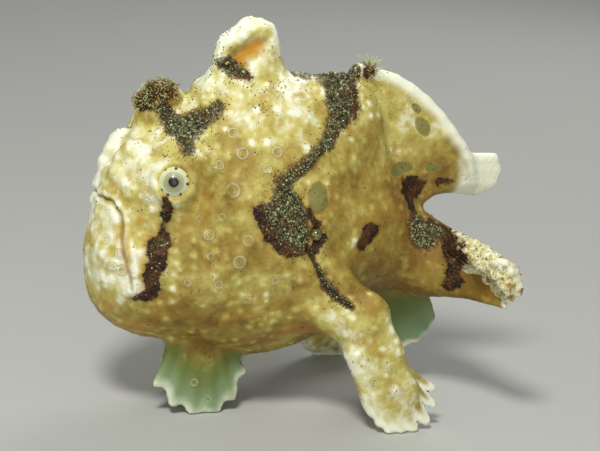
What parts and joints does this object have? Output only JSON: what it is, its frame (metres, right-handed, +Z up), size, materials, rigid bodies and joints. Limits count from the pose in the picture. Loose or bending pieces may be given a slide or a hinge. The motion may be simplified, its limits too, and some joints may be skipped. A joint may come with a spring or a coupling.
{
  "type": "frogfish",
  "caption": "Still, life-size warty frogfish standing on its hand-like fins, with upright dorsal spines, rayed fins and a folded fishing rod.",
  "frame": {"origin": "on the floor, at the middle of the fish's outline seen from above", "axes": "+Z up; the snout points to -X and the fish's left side to -Y"},
  "size_m": [0.0984, 0.0538, 0.0886],
  "materials": {
    "body_skin": "warty skin, cream over ochre with dark brown and grey granular blotches, slightly moist",
    "ochre_fin": "thick rayed fin, ochre with smooth white edges",
    "pale_fin": "thin rayed fin, pale green white",
    "eye": "wet eye, pale iris with a black pupil"
  },
  "bodies": {
    "root": {"head": "body_skin", "lower_jaw": "body_skin", "torso": "body_skin", "tail_stalk": "body_skin", "second_dorsal_spine": "body_skin", "third_dorsal_spine": "body_skin", "fishing_rod": "pale_fin", "dorsal_fin": "ochre_fin", "anal_fin": "pale_fin", "tail_fin": "ochre_fin", "eye_left": "eye", "eye_right": "eye", "arm_left": "body_skin", "arm_right": "body_skin", "pectoral_fin_left": "ochre_fin", "pectoral_fin_right": "ochre_fin", "pelvic_fin_left": "pale_fin", "pelvic_fin_right": "pale_fin"}
  },
  "joints": []
}
